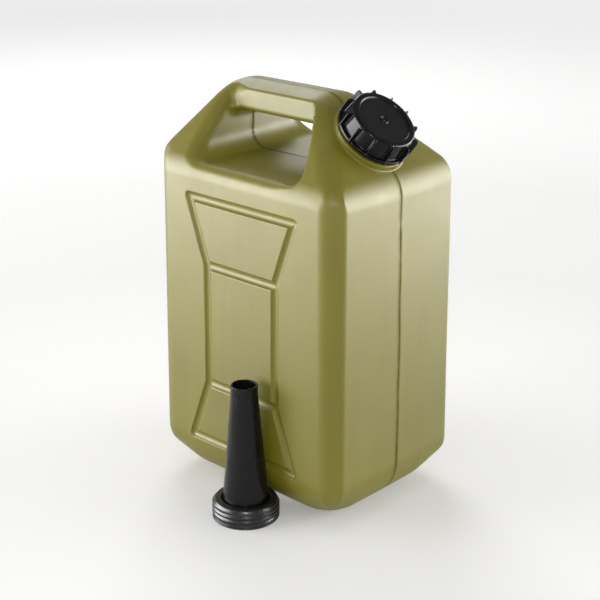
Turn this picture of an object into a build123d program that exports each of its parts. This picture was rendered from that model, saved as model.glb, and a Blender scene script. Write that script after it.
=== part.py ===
from build123d import *
import math
import os

# Blow-moulded fuel can, five litres nominal, with a screw cap and a separate screw-on pouring spout.
# Frame: +Z up. The can stands on z = 0 centred on the origin, with its long side along X, the filler
# neck at the +X end and the spout standing beside the -Y face. All lengths are in millimetres.

# Can body: a drafted box under a hipped roof whose ridge is the carrying handle
BASE_LENGTH = 180.0
BASE_WIDTH = 138.0
SHOULDER_LENGTH = 175.4
SHOULDER_WIDTH = 133.6
SHOULDER_HEIGHT = 245.0
CAN_HEIGHT = 296.4
HANDLE_FRONT = 27.7
HANDLE_REAR = -65.0
HANDLE_TOP_WIDTH = 36.4
CORNER_RADIUS = 18.0
HANDLE_CORNER_RADIUS = 9.0
SHOULDER_ROUNDING = 22.0
HANDLE_ROUNDING = 7.5
BASE_EDGE_ROUNDING = 16.0
BASE_SIDE_ROUNDING = 43.0
BASE_END_ROUNDING = 44.0
WALL = 2.4
CUTTER_EASE = 0.1

# Two shallow panels in the base, either side of a centre rib, so that the can stands on a firm rim
BASE_PANEL_LENGTH = 26.0
BASE_PANEL_WIDTH = 30.0
BASE_PANEL_DEPTH = 5.0
BASE_PANEL_OFFSET = 21.0
BASE_PANEL_ROUNDING = 5.0

# Hand opening, seen square to the side face
SILL_HEIGHT = 245.5
GRIP_UNDERSIDE = 277.0
GRIP_WIDTH = 40.0
OPENING_REAR = -53.5
OPENING_REAR_HIGH = -52.0
OPENING_FRONT = 51.0
OPENING_FRONT_HIGH = 37.5
OPENING_ROUNDING = 11.0
RECESS_RISE = 25.0
RECESS_REAR_SHIFT = 3.0
RECESS_FRONT_SHIFT = -20.0

# Moulded channel on each side face, an hourglass with two cross bars
GROOVE_WIDTH = 7.0
GROOVE_DEPTH = 2.4
GROOVE_END_HALF = 50.6
GROOVE_WAIST_HALF = 33.2
GROOVE_TOP = 221.6
GROOVE_UPPER_WAIST = 173.7
GROOVE_LOWER_WAIST = 83.4
GROOVE_BOTTOM = 36.8
KNUCKLE = 1.02

# Filler neck, leaning toward +X in the plane y = 0; heights are above its pad
NECK_TILT = 40.0
PAD_CENTRE = (61.0, 0.0, 271.95)
PAD_RADIUS = 27.6
PAD_DEPTH = 14.0
NECK_BORE_RADIUS = 16.5
NECK_HEIGHT = 12.3

# Screw thread shared by the neck, the cap and the spout's collar
THREAD_PITCH = 3.5
THREAD_ROOT_RADIUS = 19.4
THREAD_DEPTH = 1.4
THREAD_CLEARANCE = 0.35
THREAD_ROOT_WIDTH = 1.9
THREAD_CREST_WIDTH = 0.8
THREAD_EMBED = 0.3
NECK_THREAD_START = 3.2
NECK_THREAD_TURNS = 2.0
FEMALE_THREAD_TURNS = 1.5

# Screw cap
CAP_GAP = 2.0
CAP_HEIGHT = 14.9
CAP_RADIUS = 25.2
CAP_TOP_RADIUS = 23.8
CAP_RIM_ROUNDING = 1.6
CAP_RECESS_RADIUS = 19.3
CAP_RECESS_DEPTH = 1.0
CAP_PANEL = 2.0
CAP_FLANGE_RADIUS = 27.6
CAP_FLANGE_THICKNESS = 2.2
FIN_COUNT = 12
FIN_RADIUS = 27.6
FIN_THICKNESS = 1.3
FIN_PHASE = 3.5
FIN_TOP_DROP = 0.9
GATE_RING_RADIUS = 2.9
GATE_RING_WIDTH = 0.8
GATE_RING_HEIGHT = 0.5
GASKET_THICKNESS = 1.6

# Pouring spout: a tapered nozzle whose foot flange is held in a loose threaded collar
SPOUT_PLACE = (18.5, -83.2, 0.0)
COLLAR_HEIGHT = 14.4
COLLAR_RADIUS = 23.4
COLLAR_TOP_RADIUS = 22.2
COLLAR_LIP = 2.0
COLLAR_HOLE_RADIUS = 17.5
COLLAR_THREAD_START = 1.7
RIB_DEPTH = 0.9
RIB_ROOT_WIDTH = 2.9
RIB_CREST_WIDTH = 1.1
RIB_START = 2.2
RIB_TURNS = 2.6
SPOUT_HEIGHT = 102.0
SPOUT_FOOT_RADIUS = 16.6
SPOUT_TAPER_RADIUS = 10.3
SPOUT_TAPER_TOP = 86.0
SPOUT_TIP_RADIUS = 9.6
SPOUT_TIP_LENGTH = 8.0
SPOUT_WALL = 1.4
FLANGE_RADIUS = 20.7
FLANGE_THICKNESS = 1.8
FLANGE_GAP = 0.25

tilt = math.radians(NECK_TILT)
neck = Plane(
    origin=PAD_CENTRE,
    x_dir=(math.cos(tilt), 0, -math.sin(tilt)),
    z_dir=(math.sin(tilt), 0, math.cos(tilt)),
)
stand = Plane(origin=SPOUT_PLACE, x_dir=(1, 0, 0), z_dir=(0, 0, 1))
female_root_radius = THREAD_ROOT_RADIUS + THREAD_DEPTH + THREAD_CLEARANCE
cap_ceiling = CAP_GAP + CAP_HEIGHT - CAP_RECESS_DEPTH - CAP_PANEL


def section(seat):
    """The plane that holds a seat's axis: local x runs outward from it and local y runs along it."""
    return Plane(origin=seat.origin, x_dir=seat.x_dir, z_dir=-seat.y_dir)


def turned(seat, outline):
    """A solid turned about a seat's axis from corner points (radius, height)."""
    with BuildPart() as body:
        with BuildSketch(section(seat)):
            with BuildLine():
                Polyline(*outline, close=True)
            make_face()
        revolve(axis=Axis(seat.origin, seat.z_dir))
    return body.part


def helical_ridge(seat, start, turns, radius, depth, root_width, crest_width):
    """A screw ridge on a cylinder of the given radius; a negative depth points inward."""
    with BuildPart() as ridge:
        with BuildLine():
            path = Helix(
                pitch=THREAD_PITCH,
                height=THREAD_PITCH * turns,
                radius=radius,
                center=seat.offset(start).origin,
                direction=seat.z_dir,
            )
        outward = (path @ 0) - seat.offset(start).origin
        with BuildSketch(Plane(origin=path @ 0, x_dir=outward, z_dir=path % 0)):
            root = -math.copysign(THREAD_EMBED, depth)
            with BuildLine():
                Polyline(
                    (root, -root_width / 2),
                    (root, root_width / 2),
                    (depth, crest_width / 2),
                    (depth, -crest_width / 2),
                    close=True,
                )
            make_face()
        sweep(path=path, is_frenet=True)
    return ridge.part


def opening_face(corners, growth):
    """A face with rounded corners, grown by the given margin."""
    with BuildSketch() as face:
        with BuildLine():
            FilletPolyline(*corners, radius=OPENING_ROUNDING, close=True)
        make_face()
        if growth:
            offset(amount=growth)
    return face.sketch


opening_corners = [
    (OPENING_REAR, SILL_HEIGHT),
    (OPENING_FRONT, SILL_HEIGHT),
    (OPENING_FRONT_HIGH, GRIP_UNDERSIDE),
    (OPENING_REAR_HIGH, GRIP_UNDERSIDE),
]
recess_corners = [
    (OPENING_REAR, SILL_HEIGHT),
    (OPENING_FRONT, SILL_HEIGHT),
    (OPENING_FRONT_HIGH + RECESS_FRONT_SHIFT, GRIP_UNDERSIDE + RECESS_RISE),
    (OPENING_REAR_HIGH + RECESS_REAR_SHIFT, GRIP_UNDERSIDE + RECESS_RISE),
]


def level_edges(part, height):
    """The horizontal edges that lie at one height."""
    level = [edge for edge in part.edges() if edge.bounding_box().size.Z < 0.01]
    return [edge for edge in level if abs(edge.center().Z - height) < 0.1]


def groove_bead(margin):
    """The channels on both side faces as round beads, grown by the wall where they bulge into the cavity."""
    radius = (GROOVE_WIDTH**2 / 4 + GROOVE_DEPTH**2) / (2 * GROOVE_DEPTH)
    lean = (BASE_WIDTH - SHOULDER_WIDTH) / 2 / SHOULDER_HEIGHT
    nodes = [
        (GROOVE_END_HALF, GROOVE_TOP),
        (GROOVE_WAIST_HALF, GROOVE_UPPER_WAIST),
        (GROOVE_WAIST_HALF, GROOVE_LOWER_WAIST),
        (GROOVE_END_HALF, GROOVE_BOTTOM),
    ]
    right = [Vector(x, -(BASE_WIDTH / 2 - lean * z + radius - GROOVE_DEPTH), z) for x, z in nodes]
    left = [Vector(-point.X, point.Y, point.Z) for point in right]
    runs = list(zip(right, right[1:])) + list(zip(left, left[1:])) + list(zip(left, right))
    with BuildPart() as bead:
        with Locations(*right, *left):
            Sphere(KNUCKLE * (radius + margin))
        for start, end in runs:
            with BuildSketch(Plane(origin=start, z_dir=end - start)):
                Circle(radius + margin)
            extrude(amount=(end - start).length)
        mirror(about=Plane.XZ)
    return bead.part


def can_form(inset):
    """The can's form: its skin with no inset, and its cavity with the wall as the inset."""
    handle_length = HANDLE_FRONT - HANDLE_REAR
    with BuildPart() as form:
        with BuildSketch(Plane.XY.offset(inset)):
            RectangleRounded(BASE_LENGTH - 2 * inset, BASE_WIDTH - 2 * inset, CORNER_RADIUS - inset)
        with BuildSketch(Plane.XY.offset(SHOULDER_HEIGHT - inset / 2)):
            RectangleRounded(SHOULDER_LENGTH - 2 * inset, SHOULDER_WIDTH - 2 * inset, CORNER_RADIUS - inset)
        with BuildSketch(Plane.XY.offset(CAN_HEIGHT - inset)):
            with Locations(((HANDLE_FRONT + HANDLE_REAR) / 2, 0)):
                RectangleRounded(handle_length - inset, HANDLE_TOP_WIDTH - inset, HANDLE_CORNER_RADIUS - inset / 2)
        loft(ruled=True)
        fillet(level_edges(form, SHOULDER_HEIGHT - inset / 2), SHOULDER_ROUNDING)
        fillet(level_edges(form, CAN_HEIGHT - inset), HANDLE_ROUNDING - inset)
        fillet(level_edges(form, inset), BASE_EDGE_ROUNDING - inset)
        for plane, span, rounding in (
            (Plane.XZ, BASE_LENGTH, BASE_END_ROUNDING),
            (Plane.YZ, BASE_WIDTH, BASE_SIDE_ROUNDING),
        ):
            with BuildSketch(plane):
                with Locations((0, CAN_HEIGHT / 2)):
                    Rectangle(span - 2 * inset + CUTTER_EASE, CAN_HEIGHT - 2 * inset)
                fillet(vertices().group_by(Axis.Z)[0], rounding - inset)
            extrude(amount=BASE_LENGTH, both=True, mode=Mode.INTERSECT)
        with BuildSketch(Plane.XZ):
            add(opening_face(opening_corners, inset))
        extrude(amount=BASE_WIDTH, both=True, mode=Mode.SUBTRACT)
        for side in (-1, 1):
            with BuildSketch(Plane.XZ.offset(side * (GRIP_WIDTH / 2 - inset))):
                add(opening_face(recess_corners, inset))
            extrude(amount=side * BASE_WIDTH, mode=Mode.SUBTRACT)
        add(groove_bead(inset), mode=Mode.SUBTRACT)
        with BuildSketch(Plane.XY):
            with Locations((-BASE_PANEL_OFFSET, 0), (BASE_PANEL_OFFSET, 0)):
                RectangleRounded(
                    BASE_PANEL_LENGTH + 2 * inset,
                    BASE_PANEL_WIDTH + 2 * inset,
                    BASE_PANEL_ROUNDING + inset,
                )
        extrude(amount=BASE_PANEL_DEPTH + inset, mode=Mode.SUBTRACT)
        with BuildSketch(neck.offset(-inset)):
            Circle(PAD_RADIUS - inset)
        extrude(amount=-PAD_DEPTH)
    return form.part


os.makedirs("parts", exist_ok=True)

# The can: one blow-moulded wall with an integral handle, neck and screw thread
with BuildPart() as can_body:
    add(can_form(0))
    with BuildSketch(neck):
        Circle(THREAD_ROOT_RADIUS)
    extrude(amount=NECK_HEIGHT)
    add(can_form(WALL), mode=Mode.SUBTRACT)
    with BuildSketch(neck.offset(NECK_HEIGHT)):
        Circle(NECK_BORE_RADIUS)
    extrude(amount=-NECK_HEIGHT - PAD_DEPTH / 2, mode=Mode.SUBTRACT)
    add(
        helical_ridge(
            neck,
            NECK_THREAD_START,
            NECK_THREAD_TURNS,
            THREAD_ROOT_RADIUS,
            THREAD_DEPTH,
            THREAD_ROOT_WIDTH,
            THREAD_CREST_WIDTH,
        )
    )
can_body.part.label = "can_body"
export_step(can_body.part, "parts/can_body.step")

# The cap: a panel and skirt with a foot flange, twelve grip fins and a female thread
cap_foot = CAP_GAP
cap_top = CAP_GAP + CAP_HEIGHT
flange_top = cap_foot + CAP_FLANGE_THICKNESS
with BuildPart() as cap:
    add(
        turned(
            neck,
            [
                (0, cap_ceiling),
                (female_root_radius, cap_ceiling),
                (female_root_radius, cap_foot),
                (CAP_FLANGE_RADIUS, cap_foot),
                (CAP_FLANGE_RADIUS, flange_top),
                (CAP_RADIUS, flange_top),
                (CAP_TOP_RADIUS, cap_top),
                (CAP_RECESS_RADIUS, cap_top),
                (CAP_RECESS_RADIUS - CAP_RECESS_DEPTH, cap_top - CAP_RECESS_DEPTH),
                (0, cap_top - CAP_RECESS_DEPTH),
            ],
        )
    )
    rim = cap.edges().filter_by(GeomType.CIRCLE).filter_by(lambda edge: abs(edge.radius - CAP_TOP_RADIUS) < 0.01)
    fillet(rim, CAP_RIM_ROUNDING)
    with BuildSketch(neck.offset(flange_top)):
        with PolarLocations((CAP_TOP_RADIUS + FIN_RADIUS) / 2 - 0.5, FIN_COUNT, start_angle=FIN_PHASE):
            Rectangle(FIN_RADIUS - CAP_TOP_RADIUS + 1, FIN_THICKNESS)
    extrude(amount=CAP_HEIGHT - CAP_FLANGE_THICKNESS - FIN_TOP_DROP)
    with BuildSketch(neck.offset(cap_top - CAP_RECESS_DEPTH)):
        Circle(GATE_RING_RADIUS)
        Circle(GATE_RING_RADIUS - GATE_RING_WIDTH, mode=Mode.SUBTRACT)
    extrude(amount=GATE_RING_HEIGHT)
    add(
        helical_ridge(
            neck,
            NECK_THREAD_START + THREAD_PITCH / 2,
            FEMALE_THREAD_TURNS,
            female_root_radius,
            -THREAD_DEPTH,
            THREAD_ROOT_WIDTH,
            THREAD_CREST_WIDTH,
        )
    )
cap.part.label = "cap"
export_step(cap.part, "parts/cap.step")

# The cap's sealing wad, between the cap's panel and the neck's mouth
with BuildPart() as cap_gasket:
    with BuildSketch(neck.offset(NECK_HEIGHT)):
        Circle(female_root_radius - THREAD_CLEARANCE)
    extrude(amount=GASKET_THICKNESS)
cap_gasket.part.label = "cap_gasket"
export_step(cap_gasket.part, "parts/cap_gasket.step")

# The spout's collar: a lipped ring, threaded inside like the cap and ribbed outside
with BuildPart() as spout_collar:
    add(
        turned(
            stand,
            [
                (female_root_radius, 0),
                (COLLAR_RADIUS + RIB_DEPTH, 0),
                (COLLAR_RADIUS + RIB_DEPTH, RIB_DEPTH),
                (COLLAR_RADIUS, 2 * RIB_DEPTH),
                (COLLAR_RADIUS, COLLAR_HEIGHT - COLLAR_LIP),
                (COLLAR_TOP_RADIUS, COLLAR_HEIGHT),
                (COLLAR_HOLE_RADIUS, COLLAR_HEIGHT),
                (COLLAR_HOLE_RADIUS, COLLAR_HEIGHT - COLLAR_LIP),
                (female_root_radius, COLLAR_HEIGHT - COLLAR_LIP),
            ],
        )
    )
    add(
        helical_ridge(
            stand,
            COLLAR_THREAD_START,
            FEMALE_THREAD_TURNS,
            female_root_radius,
            -THREAD_DEPTH,
            THREAD_ROOT_WIDTH,
            THREAD_CREST_WIDTH,
        )
    )
    add(helical_ridge(stand, RIB_START, RIB_TURNS, COLLAR_RADIUS, RIB_DEPTH, RIB_ROOT_WIDTH, RIB_CREST_WIDTH))
spout_collar.part.label = "spout_collar"
export_step(spout_collar.part, "parts/spout_collar.step")

# The spout's nozzle: a hollow taper with a foot flange that the collar's lip holds
flange_foot = COLLAR_HEIGHT - COLLAR_LIP - FLANGE_GAP - FLANGE_THICKNESS
tip_start = SPOUT_HEIGHT - SPOUT_TIP_LENGTH
with BuildPart() as spout_nozzle:
    add(
        turned(
            stand,
            [
                (SPOUT_FOOT_RADIUS - SPOUT_WALL, flange_foot),
                (FLANGE_RADIUS, flange_foot),
                (FLANGE_RADIUS, flange_foot + FLANGE_THICKNESS),
                (SPOUT_FOOT_RADIUS, flange_foot + FLANGE_THICKNESS),
                (SPOUT_TAPER_RADIUS, SPOUT_TAPER_TOP),
                (SPOUT_TIP_RADIUS, tip_start),
                (SPOUT_TIP_RADIUS, SPOUT_HEIGHT),
                (SPOUT_TIP_RADIUS - SPOUT_WALL, SPOUT_HEIGHT),
                (SPOUT_TIP_RADIUS - SPOUT_WALL, tip_start),
                (SPOUT_TAPER_RADIUS - SPOUT_WALL, SPOUT_TAPER_TOP),
            ],
        )
    )
spout_nozzle.part.label = "spout_nozzle"
export_step(spout_nozzle.part, "parts/spout_nozzle.step")

# The spout's sealing washer, under the nozzle's flange
with BuildPart() as spout_gasket:
    with BuildSketch(stand.offset(flange_foot)):
        Circle(FLANGE_RADIUS - THREAD_CLEARANCE)
        Circle(SPOUT_FOOT_RADIUS - SPOUT_WALL, mode=Mode.SUBTRACT)
    extrude(amount=-GASKET_THICKNESS)
spout_gasket.part.label = "spout_gasket"
export_step(spout_gasket.part, "parts/spout_gasket.step")
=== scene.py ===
import math

import bpy
import numpy as np
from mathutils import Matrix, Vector


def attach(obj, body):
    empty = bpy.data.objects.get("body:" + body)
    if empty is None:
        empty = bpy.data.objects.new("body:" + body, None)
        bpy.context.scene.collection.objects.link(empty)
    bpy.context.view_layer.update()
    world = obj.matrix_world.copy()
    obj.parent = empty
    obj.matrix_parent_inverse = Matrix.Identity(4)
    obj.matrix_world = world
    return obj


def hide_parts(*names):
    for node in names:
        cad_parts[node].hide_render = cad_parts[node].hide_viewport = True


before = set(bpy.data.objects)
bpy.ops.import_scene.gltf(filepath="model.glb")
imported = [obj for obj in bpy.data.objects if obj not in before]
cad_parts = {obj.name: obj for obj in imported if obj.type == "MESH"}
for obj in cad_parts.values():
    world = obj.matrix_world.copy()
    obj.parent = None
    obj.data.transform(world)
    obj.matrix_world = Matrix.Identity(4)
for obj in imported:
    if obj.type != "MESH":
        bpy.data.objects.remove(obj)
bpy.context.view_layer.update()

# Shapes below are signed distance fields in millimetres: negative inside, zero on the surface.
# Each field is turned into a mesh on a grid, and its points are then moved exactly onto the surface.

MM = 0.001

# ---------------------------------------------------------------- field tools


def meet(a, b, r):
    """What two shapes share, with a rounding that starts r away from the edge."""
    u = np.maximum(a + r, 0)
    v = np.maximum(b + r, 0)
    return np.minimum(np.maximum(a, b), -r) + np.hypot(u, v)


def join(a, b, r):
    """Two shapes as one, with a rounding in the corner between them."""
    return -meet(-a, -b, r)


def ease(value, start, end):
    """0 before start, 1 after end, smooth between."""
    t = np.clip((value - start) / (end - start), 0, 1)
    return t * t * (3 - 2 * t)


def slope(field, points, reach):
    """The field's gradient by central differences."""
    grad = np.empty_like(points)
    for axis in range(3):
        step = np.zeros(3)
        step[axis] = reach
        grad[:, axis] = (field(points + step) - field(points - step)) / (2 * reach)
    return grad


def settle(field, points, reach, limit, rounds=4):
    """Moves points onto the surface along the gradient, by at most limit a round."""
    for _ in range(rounds):
        grad = slope(field, points, reach)
        size2 = np.maximum((grad**2).sum(1), 0.05)
        move = -(field(points) / size2)[:, None] * grad
        length = np.linalg.norm(move, axis=1)
        points = points + move * np.minimum(1, limit / np.maximum(length, 1e-9))[:, None]
    return points


def unit(vectors):
    return vectors / np.maximum(np.linalg.norm(vectors, axis=1), 1e-9)[:, None]


def surface_net(field, low, high, step):
    """A triangle mesh of the field's zero surface inside a box, on a regular grid."""
    axes = [np.arange(a, b + step, step) for a, b in zip(low, high)]
    grid = np.stack(np.meshgrid(*axes, indexing="ij"), -1)
    shape = np.array(grid.shape[:3])
    value = field(grid.reshape(-1, 3)).reshape(shape)
    inside = value < 0
    cells = tuple(shape - 1)
    total = np.zeros(cells + (3,))
    count = np.zeros(cells, int)
    crossings = []
    for axis in range(3):
        first = [slice(None)] * 3
        second = [slice(None)] * 3
        first[axis] = slice(0, -1)
        second[axis] = slice(1, None)
        first, second = tuple(first), tuple(second)
        cross = inside[first] != inside[second]
        gap = np.where(cross, value[first] - value[second], 1)
        point = grid[first].copy()
        point[..., axis] += step * np.where(cross, value[first] / gap, 0)
        crossings.append((cross, inside[first]))
        b, c = [k for k in range(3) if k != axis]
        for shift_b in (0, 1):
            for shift_c in (0, 1):
                part = [slice(None)] * 3
                part[b] = slice(shift_b, shape[b] - 1 + shift_b)
                part[c] = slice(shift_c, shape[c] - 1 + shift_c)
                part = tuple(part)
                total += point[part] * cross[part][..., None]
                count += cross[part]
    used = count > 0
    index = np.full(cells, -1)
    index[used] = np.arange(used.sum())
    points = total[used] / count[used][:, None]
    quads = []
    for axis in range(3):
        cross, solid = crossings[axis]
        b, c = (axis + 1) % 3, (axis + 2) % 3
        where = np.argwhere(cross)
        keep = (
            (where[:, b] > 0)
            & (where[:, b] < shape[b] - 1)
            & (where[:, c] > 0)
            & (where[:, c] < shape[c] - 1)
        )
        where = where[keep]
        corner = []
        for shift_b, shift_c in ((1, 1), (0, 1), (0, 0), (1, 0)):
            cell = where.copy()
            cell[:, b] -= shift_b
            cell[:, c] -= shift_c
            corner.append(index[tuple(cell.T)])
        quad = np.stack(corner, 1)
        flip = ~solid[tuple(where.T)]
        quad[flip] = quad[flip][:, ::-1]
        quads.append(quad)
    quads = np.concatenate(quads)
    p = points[quads]
    short = np.linalg.norm(p[:, 0] - p[:, 2], axis=1) <= np.linalg.norm(p[:, 1] - p[:, 3], axis=1)
    a, b = quads[short], quads[~short]
    faces = np.concatenate([a[:, [0, 1, 2]], a[:, [0, 2, 3]], b[:, [0, 1, 3]], b[:, [1, 2, 3]]])
    return points, faces


def refine(field, points, faces, reach, bend, shortest):
    """Splits edges whose ends face different ways by more than bend degrees, down to a shortest length."""
    normal = unit(slope(field, points, reach))
    ends = np.sort(np.concatenate([faces[:, [0, 1]], faces[:, [1, 2]], faces[:, [2, 0]]]), 1)
    edges, where = np.unique(ends, axis=0, return_inverse=True)
    where = where.reshape(3, -1).T
    length = np.linalg.norm(points[edges[:, 0]] - points[edges[:, 1]], axis=1)
    turn = (normal[edges[:, 0]] * normal[edges[:, 1]]).sum(1)
    split = (turn < math.cos(math.radians(bend))) & (length > shortest)
    for _ in range(2):
        marks = split[where]
        longest = np.argmax(length[where], axis=1)
        some = marks.any(1) & ~marks[np.arange(len(marks)), longest]
        split[where[np.arange(len(where))[some], longest[some]]] = True
    number = np.full(len(edges), -1)
    number[split] = len(points) + np.arange(split.sum())
    middle = points[edges[split]].mean(1)
    middle = settle(field, middle, reach, shortest)
    points = np.concatenate([points, middle])
    mid = number[where]
    marks = mid >= 0
    code = marks[:, 0] * 1 + marks[:, 1] * 2 + marks[:, 2] * 4
    out = [faces[code == 0]]
    for turns in range(3):
        a, b, c = [faces[:, (k + turns) % 3] for k in range(3)]
        ab, bc, ca = [mid[:, (k + turns) % 3] for k in range(3)]
        one = code == 1 << turns
        out.append(np.stack([a, ab, c], 1)[one])
        out.append(np.stack([ab, b, c], 1)[one])
        two = code == ((1 << turns) | (1 << ((turns + 1) % 3)))
        out.append(np.stack([ab, b, bc], 1)[two])
        out.append(np.stack([a, ab, bc], 1)[two])
        out.append(np.stack([a, bc, c], 1)[two])
    full = code == 7
    a, b, c = faces[full].T
    ab, bc, ca = mid[full].T
    for tri in ((a, ab, ca), (ab, b, bc), (ca, bc, c), (ab, bc, ca)):
        out.append(np.stack(tri, 1))
    return points, np.concatenate(out)


def meshed(field, low, high, step, levels, bend):
    """Grid mesh, moved onto the surface and refined where it bends."""
    reach = step * 0.02
    points, faces = surface_net(field, low, high, step)
    points = settle(field, points, reach, step)
    for shortest in levels:
        points, faces = refine(field, points, faces, reach, bend, shortest)
    points = settle(field, points, reach, step, 2)
    return points, faces


def drop_loose(points, faces):
    """Leaves out points that no face uses."""
    used = np.unique(faces)
    index = np.full(len(points), -1)
    index[used] = np.arange(len(used))
    return points[used], index[faces], used


def make_object(name, points, faces, normals=None, materials=(), face_material=None):
    """A Blender mesh object from points in millimetres in the row frame."""
    mesh = bpy.data.meshes.new(name)
    mesh.vertices.add(len(points))
    mesh.vertices.foreach_set("co", (points * MM).astype(np.float32).ravel())
    mesh.loops.add(faces.size)
    mesh.loops.foreach_set("vertex_index", faces.astype(np.int32).ravel())
    mesh.polygons.add(len(faces))
    mesh.polygons.foreach_set("loop_start", np.arange(0, faces.size, 3, dtype=np.int32))
    mesh.polygons.foreach_set("use_smooth", np.ones(len(faces), bool))
    for material in materials:
        mesh.materials.append(material)
    if face_material is not None:
        mesh.polygons.foreach_set("material_index", face_material.astype(np.int32))
    mesh.update()
    mesh.validate()
    if normals is not None:
        mesh.normals_split_custom_set_from_vertices(normals)
    obj = bpy.data.objects.new(name, mesh)
    bpy.context.scene.collection.objects.link(obj)
    return obj


# ---------------------------------------------------------------- the can's form

HALF_LENGTH, HALF_WIDTH, CAN_HEIGHT = 90.0, 69.0, 296.4
END_DRAFT, SIDE_DRAFT, SEAM_DRAFT = 0.0094, 0.00898, 0.012
TILT = math.radians(40.0)
PAD = np.array([61.0, 0.0, 271.95])
AXIS = np.array([math.sin(TILT), 0.0, math.cos(TILT)])
ACROSS = np.array([math.cos(TILT), 0.0, -math.sin(TILT)])
BORE_RADIUS = 17.0
WALL = 2.6

SILL, UNDERSIDE, GRIP_HALF = 245.5, 276.6, 20.0
GROOVE_PATH = [(50.6, 221.6), (33.2, 173.7), (33.2, 83.4), (50.6, 36.8)]
GROOVE_RADIUS, GROOVE_LIFT = 3.75, 1.35
BASE_PANEL_OFFSET, BASE_PANEL_HALF_LENGTH, BASE_PANEL_HALF_WIDTH, BASE_PANEL_DEPTH = 21.0, 13.0, 15.0, 5.0
PAD_RADIUS, PAD_DEPTH = 27.5, 14.0


def neck_frame(p):
    """Distance out from the neck's axis and height above its pad."""
    d = p - PAD
    h = d @ AXIS
    return np.hypot(d @ ACROSS, d[:, 1]), h


def side_of(w, z):
    return (w + SIDE_DRAFT * z - HALF_WIDTH) / math.hypot(1, SIDE_DRAFT)


def roof_of(x, w, z):
    """The hipped roof: two side planes, a front and a rear slope and a crowned top."""
    crown = 0.02 * w + 0.008 * w * w
    top = (z + crown - CAN_HEIGHT) / np.sqrt(1 + (0.02 + 0.016 * w) ** 2)
    front = 0.6662 * (x - 27.7) + 0.7457 * (z - CAN_HEIGHT)
    rear = -0.8578 * (x + 61.0) + 0.5139 * (z - CAN_HEIGHT)
    side = 0.7364 * (w - 18.2) + 0.6765 * (z - CAN_HEIGHT)
    long = meet(meet(front, top, 5.4), rear, 5.8)
    rounding = 1.2 + 7.8 * ease(x, 14, 44) + 7.6 * ease(-x, 44, 66)
    return meet(long, side, rounding)


def groove_distance(x, z):
    """Distance in the side face from the channels' centre lines."""
    ax = np.abs(x)
    best = np.full(x.shape, 1e3)
    for (x0, z0), (x1, z1) in zip(GROOVE_PATH, GROOVE_PATH[1:]):
        length2 = (x1 - x0) ** 2 + (z1 - z0) ** 2
        t = np.clip(((ax - x0) * (x1 - x0) + (z - z0) * (z1 - z0)) / length2, 0, 1)
        best = np.minimum(best, np.hypot(ax - x0 - t * (x1 - x0), z - z0 - t * (z1 - z0)))
    for x0, z0 in GROOVE_PATH:
        best = np.minimum(best, np.hypot(np.maximum(ax - x0, 0), z - z0))
    return best


def opening_of(x, w, z):
    """The hand opening with the recesses beside the grip, and how far its edges are rounded."""
    rise = z - SILL
    left = -(x + 53.6 - 0.05 * rise)
    right = x - 51.6 + 0.235 * rise + 0.0068 * rise * np.abs(rise)
    right /= np.hypot(1, 0.235 + 0.0136 * np.abs(rise))
    window = meet(meet(left, -rise, 14.0), right, 9.0)
    bar = meet(UNDERSIDE - z, w - GRIP_HALF, 4.0)
    opening = meet(window, -bar, 2.5 + 5.5 * (1 - ease(z, 277, 284)))
    at_left = 1 - ease(np.abs(opening - left), 0, 16)
    at_sill = (1 - ease(np.abs(opening + rise), 0, 10)) * (1 - ease(x, 26, 46))
    return opening, 1.7 + 8.2 * at_left + 3.4 * at_sill * (1 - at_left)


def can_outside(p):
    """The can's outer form without the neck's bore."""
    x, y, z = p[:, 0], p[:, 1], p[:, 2]
    w = np.abs(y)
    end = (np.abs(x) + END_DRAFT * z + SEAM_DRAFT * w - HALF_LENGTH) / math.hypot(1, END_DRAFT)
    side = side_of(w, z)
    corner = (end + side) / math.sqrt(2) + 7.46
    walls = meet(meet(end, corner, 1.5), side, 3.6)
    walls += (1 - ease(z, 0, 32)) * (meet(end, side, 38.0) - walls)
    shoulder = 5.8 + 1.6 * ease(x, 62, 82) - 1.6 * ease(-x, 74, 90)
    form = meet(walls, roof_of(x, w, z), shoulder)
    form = meet(form, -z, 37.0)
    panel_end = np.abs(np.abs(x) - BASE_PANEL_OFFSET) - BASE_PANEL_HALF_LENGTH
    panel = meet(meet(panel_end, w - BASE_PANEL_HALF_WIDTH, 5.0), z - BASE_PANEL_DEPTH, 1.5)
    form = meet(form, -panel, 1.5)
    out, h = neck_frame(p)
    pad = meet(meet(out - PAD_RADIUS, h, 0.7), -h - PAD_DEPTH, 1.0)
    form = join(form, pad, 0.9)
    opening, edge = opening_of(x, w, z)
    form = meet(form, -opening, edge)
    bead = np.hypot(groove_distance(x, z), side - GROOVE_LIFT) - GROOVE_RADIUS
    form = meet(form, -bead, 0.45)
    sway = 0.10 * np.sin(x / 19 + 1.3) * np.sin(z / 27 + 0.7) + 0.07 * np.sin(y / 15 + 0.4) * np.sin(z / 22)
    return form + sway


def can_skin_field(p):
    out, h = neck_frame(p)
    return np.maximum(can_outside(p), -np.maximum(out - BORE_RADIUS, -4.0 - h))


def can_cavity_field(p):
    out, h = neck_frame(p)
    tunnel = np.maximum(out - BORE_RADIUS, np.abs(h + 12.0) - 11.0)
    outside = can_outside(p)
    return -np.minimum(outside + WALL, np.maximum(tunnel, outside + 0.8))


THREAD_PITCH, THREAD_DEPTH = 3.5, 1.4


def thread_profile(along, root_width, crest_width):
    """Ridge height as a share of its depth, by the distance along the axis from its middle."""
    return np.clip((root_width / 2 - np.abs(along)) / ((root_width - crest_width) / 2), 0, 1)


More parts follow.
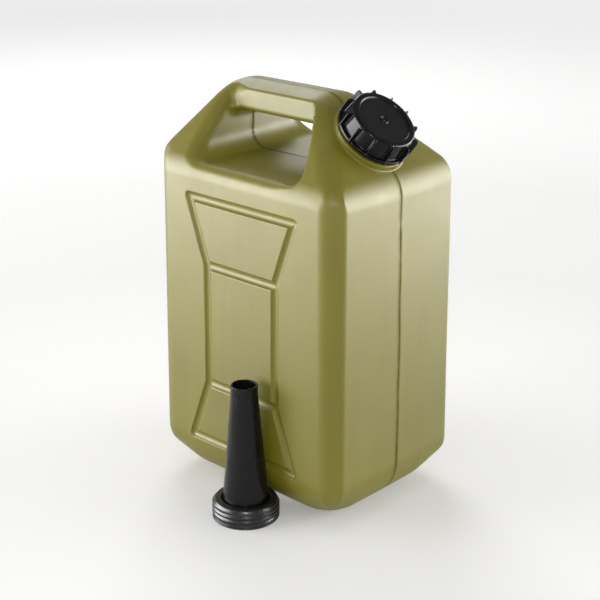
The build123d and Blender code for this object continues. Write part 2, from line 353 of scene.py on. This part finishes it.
def thread_height(angle, h, start, turns, root_width, crest_width):
    """A screw ridge's height as a share of its depth, on any turn of it."""
    share = np.zeros_like(h)
    for turn in range(-1, int(turns) + 2):
        run = angle / (2 * math.pi) + turn
        fade = np.clip(np.minimum(run, turns - run) * 6.0 + 0.5, 0, 1)
        along = h - start - THREAD_PITCH * run
        share = np.maximum(share, fade * thread_profile(along, root_width, crest_width))
    return share


def local(p):
    """Points in the neck's own frame: across, sideways, up from the pad."""
    d = p - PAD
    return np.stack([d @ ACROSS, d[:, 1], d @ AXIS], 1)


def to_row(q):
    return PAD + q[:, :1] * ACROSS + q[:, 1:2] * np.array([0.0, 1.0, 0.0]) + q[:, 2:] * AXIS


def turn_normals(n):
    return n[:, :1] * ACROSS + n[:, 1:2] * np.array([0.0, 1.0, 0.0]) + n[:, 2:] * AXIS


def neck_field(q):
    out, h = np.hypot(q[:, 0], q[:, 1]), q[:, 2]
    angle = np.arctan2(q[:, 1], q[:, 0]) % (2 * math.pi)
    ridge = THREAD_DEPTH * thread_height(angle, h, 3.2, 2.0, 2.1, 0.9)
    outer = (out - 19.4 - ridge) * 0.8
    tube = meet(meet(outer, h - 12.3, 0.7), 16.5 - out, 0.6)
    return meet(tube, -h - 3.6, 0.1)


FIN_COUNT = 12


def cap_field(q):
    out, h = np.hypot(q[:, 0], q[:, 1]), q[:, 2]
    angle = np.arctan2(q[:, 1], q[:, 0]) % (2 * math.pi)
    wall = (out - 25.2 + 0.094 * (h - 2.0)) / 1.0044
    body = meet(wall, h - 16.9, 1.6)
    dish = meet(out - 19.0 - 0.5 * (h - 15.9), 15.9 - h, 0.5)
    body = meet(body, -dish, 0.45)
    step = 2 * math.pi / FIN_COUNT
    spread = (angle - math.radians(3.5) + step / 2) % step - step / 2
    across = out * np.sin(spread)
    reach = 28.2 - 0.9 * ease(h, 12.8, 16.2)
    fin = meet(meet(np.abs(across) - 0.62, out * np.cos(spread) - reach, 0.5), h - 16.1, 0.7)
    fin = np.maximum(fin, 20.0 - out)
    body = join(body, fin, 0.7)
    flange = meet(meet(out - 27.6, h - 4.2, 0.5), 20.0 - out, 0.1)
    body = join(body, flange, 0.9)
    body = meet(body, 2.0 - h, 0.4)
    ridge = THREAD_DEPTH * thread_height(angle, h, 4.95, 1.5, 2.1, 0.9)
    hollow = np.maximum((out - 21.15 + ridge) * 0.8, h - 13.9)
    body = meet(body, -hollow, 0.3)
    ring = np.hypot(out - 2.7, (h - 15.95) * 0.9) - 0.5
    body = join(body, ring, 0.25)
    nub = np.hypot(out, (h - 15.2)) - 1.1
    dimple = np.hypot(out - 1.25, h - 16.1) - 0.45
    return meet(join(body, nub, 0.2), -dimple, 0.15)


SPOUT = np.array([18.5, -83.2, 0.0])


def collar_field(q):
    out, h = np.hypot(q[:, 0], q[:, 1]), q[:, 2]
    angle = np.arctan2(q[:, 1], q[:, 0]) % (2 * math.pi)
    wall = out - 23.3 + 1.1 * ease(h, 11.6, 14.6)
    ribs = 0.95 * thread_height(angle, h, 2.3, 2.7, 3.3, 0.7)
    foot = 0.9 * (1 - ease(h, 0.9, 1.8))
    outer = (wall - np.maximum(ribs, foot)) * 0.8
    body = meet(meet(outer, h - 14.4, 0.9), -h, 0.35)
    ridge = THREAD_DEPTH * thread_height(angle, h, 1.7, 1.5, 2.1, 0.9)
    hollow = np.maximum((out - 21.15 + ridge) * 0.8, h - 12.4)
    hole = out - 17.5
    return meet(meet(body, -hollow, 0.3), -hole, 0.5)


# ---------------------------------------------------------------- materials


def new_material(name, colour, roughness, specular=0.5):
    material = bpy.data.materials.new(name)
    material.use_nodes = True
    nodes = material.node_tree.nodes
    shader = nodes["Principled BSDF"]
    shader.inputs["Base Color"].default_value = (*colour, 1)
    shader.inputs["Roughness"].default_value = roughness
    shader.inputs["Specular IOR Level"].default_value = specular
    return material, nodes, material.node_tree.links, shader


def noise(nodes, links, scale, detail=3.0, stretch=(1, 1, 1), seed=0.0):
    """Noise over the object's own coordinates, in metres, stretched along an axis where stretch is small."""
    place = nodes.new("ShaderNodeTexCoord")
    mapping = nodes.new("ShaderNodeMapping")
    mapping.inputs["Scale"].default_value = stretch
    mapping.inputs["Location"].default_value = (seed, seed * 0.7, seed * 1.3)
    texture = nodes.new("ShaderNodeTexNoise")
    texture.inputs["Scale"].default_value = scale
    texture.inputs["Detail"].default_value = detail
    links.new(place.outputs["Object"], mapping.inputs["Vector"])
    links.new(mapping.outputs["Vector"], texture.inputs["Vector"])
    return texture.outputs["Fac"]


def ramp(nodes, links, source, stops):
    node = nodes.new("ShaderNodeValToRGB")
    while len(node.color_ramp.elements) > len(stops):
        node.color_ramp.elements.remove(node.color_ramp.elements[-1])
    while len(node.color_ramp.elements) < len(stops):
        node.color_ramp.elements.new(0.5)
    for element, (position, colour) in zip(node.color_ramp.elements, stops):
        element.position = position
        element.color = (*colour, 1) if len(colour) == 3 else (colour[0],) * 3 + (1,)
    links.new(source, node.inputs["Fac"])
    return node.outputs["Color"]


def mix(nodes, links, a, b, factor, mode="MIX"):
    node = nodes.new("ShaderNodeMix")
    node.data_type = "RGBA"
    node.blend_type = mode
    for socket, value in (("A", a), ("B", b)):
        target = [s for s in node.inputs if s.name == socket and s.type == "RGBA"][0]
        if isinstance(value, tuple):
            target.default_value = (*value, 1)
        else:
            links.new(value, target)
    if isinstance(factor, float):
        node.inputs["Factor"].default_value = factor
    else:
        links.new(factor, node.inputs["Factor"])
    return [s for s in node.outputs if s.type == "RGBA"][0]


def bump(nodes, links, shader, layers):
    """Stacks bump layers: (height, strength, distance in metres)."""
    last = None
    for height, strength, distance in layers:
        node = nodes.new("ShaderNodeBump")
        node.inputs["Strength"].default_value = strength
        node.inputs["Distance"].default_value = distance
        links.new(height, node.inputs["Height"])
        if last is not None:
            links.new(last, node.inputs["Normal"])
        last = node.outputs["Normal"]
    links.new(last, shader.inputs["Normal"])


def olive_polyethylene():
    material, nodes, links, shader = new_material("olive_polyethylene", (0.2, 0.18, 0.03), 0.42)
    tone = ramp(
        nodes,
        links,
        noise(nodes, links, 14.0, 4.0),
        [(0.3, (0.163, 0.143, 0.006)), (0.7, (0.187, 0.165, 0.010))],
    )
    streaks = noise(nodes, links, 160.0, 3.0, (1, 1, 0.035), 3.0)
    streak_tone = ramp(nodes, links, streaks, [(0.35, (0.93,)), (0.7, (1.0,))])
    tone = mix(nodes, links, tone, streak_tone, 1.0, "MULTIPLY")
    # Painted shade and dirt along the parting line: a dark brown colour, broken up by noise and with the
    # sheen turned down, stands in for the shade inside the seam's groove as well as a brownish dirt tint.
    seam = nodes.new("ShaderNodeAttribute")
    seam.attribute_name = "seam"
    blotches = noise(nodes, links, 120.0, 4.0, (1, 1, 1), 7.0)
    dirt_and_shade_breakup = ramp(nodes, links, blotches, [(0.3, (0.55,)), (0.6, (1.0,))])
    seam_dirt_and_shade = nodes.new("ShaderNodeMath")
    seam_dirt_and_shade.operation = "MULTIPLY"
    links.new(seam.outputs["Fac"], seam_dirt_and_shade.inputs[0])
    links.new(dirt_and_shade_breakup, seam_dirt_and_shade.inputs[1])
    tone = mix(nodes, links, tone, (0.050, 0.031, 0.009), seam_dirt_and_shade.outputs[0])
    links.new(tone, shader.inputs["Base Color"])
    dull = ramp(nodes, links, seam_dirt_and_shade.outputs[0], [(0.0, (0.5,)), (0.5, (0.08,))])
    links.new(dull, shader.inputs["Specular IOR Level"])
    haze = noise(nodes, links, 55.0, 5.0, (1, 1, 1), 11.0)
    links.new(ramp(nodes, links, haze, [(0.25, (0.43,)), (0.75, (0.52,))]), shader.inputs["Roughness"])
    grain = noise(nodes, links, 2600.0, 2.0)
    bump(nodes, links, shader, [(grain, 0.22, 0.00006), (streaks, 0.12, 0.00015), (haze, 0.09, 0.0006)])
    return material


def black_plastic(
    name, dark, light, rough_low, rough_high, grain_scale, grain, streak_axis=None, specular=0.16
):
    material, nodes, links, shader = new_material(name, dark, rough_low, specular)
    cloud = noise(nodes, links, 90.0, 4.0, (1, 1, 1), 5.0)
    links.new(ramp(nodes, links, cloud, [(0.3, dark), (0.7, light)]), shader.inputs["Base Color"])
    if streak_axis:
        wear = noise(nodes, links, 420.0, 3.0, streak_axis, 2.0)
    else:
        wear = noise(nodes, links, 260.0, 4.0, (1, 1, 1), 2.0)
    roughness = ramp(nodes, links, wear, [(0.3, (rough_low,)), (0.7, (rough_high,))])
    links.new(roughness, shader.inputs["Roughness"])
    texture = noise(nodes, links, grain_scale, 2.0)
    bump(nodes, links, shader, [(texture, grain, 0.00005), (wear, 0.08, 0.0001)])
    return material


def seal_rubber():
    material, nodes, links, shader = new_material("seal_rubber", (0.03, 0.03, 0.03), 0.7, 0.35)
    cloud = noise(nodes, links, 300.0, 4.0)
    tone = ramp(nodes, links, cloud, [(0.3, (0.022, 0.022, 0.021)), (0.7, (0.045, 0.044, 0.042))])
    links.new(tone, shader.inputs["Base Color"])
    links.new(ramp(nodes, links, cloud, [(0.3, (0.6,)), (0.7, (0.82,))]), shader.inputs["Roughness"])
    bump(nodes, links, shader, [(noise(nodes, links, 3000.0, 2.0), 0.25, 0.00005)])
    return material


olive = olive_polyethylene()
cap_gloss = black_plastic(
    "cap_gloss", (0.004, 0.004, 0.0042), (0.007, 0.007, 0.0072), 0.16, 0.26, 2600.0, 0.06
)
cap_matte = black_plastic(
    "cap_matte", (0.004, 0.004, 0.004), (0.008, 0.008, 0.008), 0.34, 0.44, 1800.0, 0.35
)
spout_satin = black_plastic(
    "spout_satin",
    (0.004, 0.004, 0.0041),
    (0.007, 0.007, 0.0072),
    0.20,
    0.32,
    2400.0,
    0.12,
    (1, 1, 0.05),
    0.20,
)
collar_satin = black_plastic(
    "collar_satin", (0.008, 0.008, 0.0082), (0.014, 0.014, 0.0144), 0.26, 0.38, 2400.0, 0.12, None, 0.5
)
rubber = seal_rubber()

# ---------------------------------------------------------------- the can

SEAM_HALF, SEAM_DEPTH = 0.7, 0.9

skin_points, skin_faces = meshed(can_skin_field, (-95, -74, -4), (95, 74, 302), 3.0, (1.6, 0.8), 10.0)
radii, heights = neck_frame(skin_points)
bottom = (heights < -3.2) & (radii < BORE_RADIUS + 0.6) & (heights > -5.5)
skin_faces = skin_faces[~bottom[skin_faces].any(1)]
cavity_points, cavity_faces = meshed(can_cavity_field, (-93, -72, -2), (93, 72, 300), 5.0, (2.4,), 14.0)
radii, heights = neck_frame(cavity_points)
top = (heights > -2.4) & (radii < BORE_RADIUS + 0.6)
cavity_faces = cavity_faces[~top[cavity_faces].any(1)]
neck_points, neck_faces = meshed(neck_field, (-22, -22, -5), (22, 22, 14), 0.85, (0.5,), 12.0)
neck_normals = turn_normals(unit(slope(neck_field, neck_points, 0.02)))
neck_points = to_row(neck_points)


def cut_seam(points, faces, offset):
    """Splits the faces that cross the plane y = offset, so that a row of edges lies in it."""
    d = points[:, 1] - offset
    near = np.abs(d) < 0.04
    points = points.copy()
    points[near, 1] = offset
    d = points[:, 1] - offset
    side = np.where(np.abs(d) < 1e-9, 0, np.sign(d)).astype(int)
    s = side[faces]
    crossing = (s.max(1) > 0) & (s.min(1) < 0)
    ends = np.sort(np.concatenate([faces[:, [0, 1]], faces[:, [1, 2]], faces[:, [2, 0]]]), 1)
    edges, where = np.unique(ends, axis=0, return_inverse=True)
    where = where.reshape(3, -1).T
    cut = side[edges[:, 0]] * side[edges[:, 1]] < 0
    a, b = edges[cut].T
    t = (d[a] / (d[a] - d[b]))[:, None]
    fresh = points[a] * (1 - t) + points[b] * t
    number = np.full(len(edges), -1)
    number[cut] = len(points) + np.arange(cut.sum())
    points = np.concatenate([points, fresh])
    out = [faces[~crossing]]
    todo, mid = faces[crossing], number[where[crossing]]
    for turns in range(3):
        a, b, c = [todo[:, (k + turns) % 3] for k in range(3)]
        ab, bc, ca = [mid[:, (k + turns) % 3] for k in range(3)]
        two = (ab >= 0) & (ca >= 0)
        out.append(np.stack([a, ab, ca], 1)[two])
        out.append(np.stack([ab, b, c], 1)[two])
        out.append(np.stack([ab, c, ca], 1)[two])
        one = (bc >= 0) & (ab < 0) & (ca < 0)
        out.append(np.stack([a, b, bc], 1)[one])
        out.append(np.stack([a, bc, c], 1)[one])
    return points, np.concatenate(out)


for offset in (-SEAM_HALF, 0.0, SEAM_HALF):
    skin_points, skin_faces = cut_seam(skin_points, skin_faces, offset)
skin_points, skin_faces, _ = drop_loose(skin_points, skin_faces)
out, height = neck_frame(skin_points)
outer_skin = (out > 28.5) | (height < -15) | (height > 1)
on_seam = (np.abs(skin_points[:, 1]) < 1e-6) & outer_skin
beside_seam = np.abs(skin_points[:, 1]) < SEAM_HALF + 0.01
skin_points = settle(can_skin_field, skin_points, 0.05, 0.5, 2)
skin_normals = unit(slope(can_skin_field, skin_points, 0.05))
x, y, z = skin_points.T
depth = SEAM_DEPTH * (0.75 + 0.25 * np.sin(x / 7.3 + z / 5.1))
skin_points[on_seam] -= (skin_normals * depth[:, None])[on_seam]
wobble = 0.35 * np.sin(z / 31 + x / 23) + 0.2 * np.sin(z / 9.5 + x / 7.0 + 1.0)
skin_points[:, 1] += wobble * (1 - ease(np.abs(y), 1.0, 9.0))
skin_points[y > 0.3] -= (skin_normals * (0.10 * (1 - ease(y, 0.5, 7.0)))[:, None])[y > 0.3]
skin_normals[beside_seam] = 0

cavity_points, cavity_faces, _ = drop_loose(cavity_points, cavity_faces)
cavity_normals = unit(slope(can_cavity_field, cavity_points, 0.1))
all_points = np.concatenate([skin_points, cavity_points, neck_points])
all_faces = np.concatenate(
    [skin_faces, cavity_faces + len(skin_points), neck_faces + len(skin_points) + len(cavity_points)]
)
all_normals = np.concatenate([skin_normals, cavity_normals, neck_normals])
can_skin = make_object("can_skin", all_points, all_faces, all_normals, [olive])
# Seam attribute: how much painted shade and brownish dirt lies along the parting line, full on the seam row
# and 0.4 on the rows beside it.
seam_dirt_and_shade_mask = can_skin.data.attributes.new("seam", "FLOAT", "POINT")
seam_dirt_and_shade_values = np.zeros(len(all_points), np.float32)
seam_dirt_and_shade_values[: len(skin_points)][beside_seam] = 0.4
seam_dirt_and_shade_values[: len(skin_points)][on_seam] = 1.0
seam_dirt_and_shade_mask.data.foreach_set("value", seam_dirt_and_shade_values)
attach(can_skin, "can")
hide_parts("can_body")

# ---------------------------------------------------------------- the cap

cap_points, cap_faces = meshed(cap_field, (-29, -29, 1), (29, 29, 18), 0.62, (0.34,), 12.0)
cap_normals = turn_normals(unit(slope(cap_field, cap_points, 0.02)))
centre = cap_points[cap_faces].mean(1)
panel = (centre[:, 2] > 15.2) & (centre[:, 2] < 16.2) & (np.hypot(centre[:, 0], centre[:, 1]) < 18.6)
cap_shell = make_object(
    "cap_shell", to_row(cap_points), cap_faces, cap_normals, [cap_gloss, cap_matte], panel.astype(int)
)
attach(cap_shell, "cap")
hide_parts("cap")

# ---------------------------------------------------------------- the spout

collar_points, collar_faces = meshed(collar_field, (-25.5, -25.5, -1), (25.5, 25.5, 15.5), 0.6, (0.36,), 12.0)
collar_normals = unit(slope(collar_field, collar_points, 0.02))
collar_ring = make_object("collar_ring", collar_points + SPOUT, collar_faces, collar_normals, [collar_satin])
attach(collar_ring, "collar")
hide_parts("spout_collar")


def arc(centre_r, centre_h, radius, start, end, count=5):
    """Points of a rounded corner on a turned outline, by angle in degrees."""
    angles = np.radians(np.linspace(start, end, count))
    return [(centre_r + radius * math.cos(a), centre_h + radius * math.sin(a)) for a in angles]


def nozzle_outline():
    foot, top = 10.35, 102.0
    points = []
    points += arc(15.6, foot + 0.3, 0.3, 180, 270)
    points += arc(20.3, foot + 0.4, 0.4, 270, 360)
    points += arc(20.3, foot + 1.4, 0.4, 0, 90)
    points += [(17.2, foot + 1.8), (16.8, foot + 1.95), (16.62, foot + 2.3)]
    for h in np.linspace(14.5, 84.0, 24):
        points.append((16.6 - (16.6 - 10.3) * (h - 12.15) / (86.0 - 12.15), h))
    for h in (86.5, 88.0, 89.5, 91.0, 92.5):
        points.append((10.26 - 0.085 * (h - 86.5), h))
    points += [(9.72, 93.2), (9.62, 94.0), (9.6, 96.0), (9.62, 98.0), (9.6, 100.0)]
    points += arc(9.05, top - 0.55, 0.55, 0, 90)
    points += arc(8.65, top - 0.45, 0.45, 90, 180)
    points += [(8.2, 99.0), (8.2, 94.0)]
    for h in np.linspace(86.0, 12.0, 18):
        points.append((8.9 + (15.2 - 8.9) * (86.0 - h) / (86.0 - 10.35), h))
    return points


def turned(outline, segments):
    """A closed outline of (radius, height) turned about +Z."""
    outline = np.array(outline)
    angle = np.linspace(0, 2 * math.pi, segments, endpoint=False)
    ring = np.stack([np.cos(angle), np.sin(angle)], 1)
    points = np.empty((len(outline), segments, 3))
    points[..., :2] = outline[:, None, :1] * ring[None]
    points[..., 2] = outline[:, 1:]
    index = np.arange(len(outline) * segments).reshape(len(outline), segments)
    a, b = index, np.roll(index, -1, 0)
    c, d = np.roll(b, -1, 1), np.roll(a, -1, 1)
    faces = np.concatenate([np.stack([a, d, c], -1).reshape(-1, 3), np.stack([a, c, b], -1).reshape(-1, 3)])
    return points.reshape(-1, 3), faces


nozzle_points, nozzle_faces = turned(nozzle_outline(), 144)
angle = np.arctan2(nozzle_points[:, 1], nozzle_points[:, 0])
height = nozzle_points[:, 2]
radius = np.hypot(nozzle_points[:, 0], nozzle_points[:, 1])
ripple = 0.05 * np.sin(2 * angle + height / 17) + 0.03 * np.sin(5 * angle + height / 9)
near_tip = ease(height, 84, 92)
swirl = 0.05 * np.sin(height * 2.1 + 1.5 * np.sin(angle * 3))
flutes = 0.05 * np.sin(9 * angle + 0.8 * height)
ripple += near_tip * (swirl + flutes)
ripple *= ease(height, 14, 20)
nozzle_points[:, :2] *= (1 + ripple / radius)[:, None]
burr = ease(height, 101.3, 102.0) * (0.08 * np.sin(7 * angle + 0.5) * np.sin(3 * angle) - 0.1)
nozzle_points[:, 2] += burr
nozzle_tube = make_object("nozzle_tube", nozzle_points + SPOUT, nozzle_faces, None, [spout_satin])
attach(nozzle_tube, "spout")
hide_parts("spout_nozzle")

for name in ("cap_gasket", "spout_gasket"):
    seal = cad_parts[name]
    seal.data.materials.clear()
    seal.data.materials.append(rubber)

# ---------------------------------------------------------------- floor, light and camera

floor_mesh = bpy.data.meshes.new("studio_floor")
floor_mesh.from_pydata([(-9, -9, 0), (9, -9, 0), (9, 9, 0), (-9, 9, 0)], [], [(0, 1, 2, 3)])
floor = bpy.data.objects.new("studio_floor", floor_mesh)
bpy.context.scene.collection.objects.link(floor)
FLOOR_COLOUR = (0.80, 0.797, 0.792)
floor_material, floor_nodes, floor_links, floor_shader = new_material("studio_floor", FLOOR_COLOUR, 0.8, 0.0)
floor_place = floor_nodes.new("ShaderNodeTexCoord")
floor_reach = floor_nodes.new("ShaderNodeVectorMath")
floor_reach.operation = "LENGTH"
floor_links.new(floor_place.outputs["Object"], floor_reach.inputs[0])
floor_share = floor_nodes.new("ShaderNodeMath")
floor_share.operation = "DIVIDE"
floor_links.new(floor_reach.outputs["Value"], floor_share.inputs[0])
floor_share.inputs[1].default_value = 2.6
# Floor glow by distance from the can: a painted pool of light within about 0.25 m of the can cancels its
# shadow and lights its lower sides from below, then the glow rises outwards to keep the far floor evenly
# bright.
floor_glow = ramp(
    floor_nodes,
    floor_links,
    floor_share.outputs[0],
    [(0.10, (0.13,)), (0.19, (0.05,)), (0.32, (0.06,)), (0.95, (0.52,))],
)
floor_shader.inputs["Emission Color"].default_value = (1, 1, 1, 1)
floor_links.new(floor_glow, floor_shader.inputs["Emission Strength"])
floor.data.materials.append(floor_material)

world = bpy.data.worlds.new("studio")
bpy.context.scene.world = world
world.use_nodes = True
world.node_tree.nodes["Background"].inputs["Color"].default_value = (1.0, 1.0, 1.0, 1)
world.node_tree.nodes["Background"].inputs["Strength"].default_value = 0.31

FOCUS = np.array([0.0, 0.0, 0.15])


def softbox(name, place, width, height, power, aim=FOCUS, sheen_only=False, shine=True):
    light = bpy.data.lights.new(name, "AREA")
    light.shape = "RECTANGLE"
    light.size, light.size_y = width, height
    light.energy = power
    obj = bpy.data.objects.new(name, light)
    bpy.context.scene.collection.objects.link(obj)
    obj.location = place
    obj.visible_diffuse = not sheen_only
    obj.visible_glossy = shine
    direction = np.array(aim) - np.array(place)
    obj.rotation_euler = Vector(direction).to_track_quat("-Z", "Y").to_euler()
    return obj


softbox("left_softbox", (-1.12, -1.18, 0.42), 1.4, 0.85, 20)
softbox("right_softbox", (1.12, 1.18, 0.36), 1.4, 0.72, 17)
softbox("left_card", (-0.52, -0.55, 0.23), 0.86, 0.46, 12.5, sheen_only=True)
softbox("right_card", (0.52, 0.55, 0.23), 0.86, 0.46, 12, sheen_only=True)
softbox("back_softbox", (-1.15, 0.88, 1.25), 0.9, 0.9, 13)
softbox("front_spot", (0.98, -1.06, 0.75), 0.2, 0.2, 8.0)
softbox("top_fill", (0.0, 0.0, 3.2), 2.6, 2.6, 14, shine=False)

camera_data = bpy.data.cameras.new("camera")
camera_data.lens = 82.68
camera_data.sensor_width = 36.0
camera = bpy.data.objects.new("camera", camera_data)
bpy.context.scene.collection.objects.link(camera)
camera.location = (0.64598, -0.7007, 0.4934)
camera.rotation_euler = (math.radians(90 - 20.48), 0.0, math.radians(42.92))
bpy.context.scene.camera = camera
bpy.context.scene.view_settings.view_transform = "Standard"
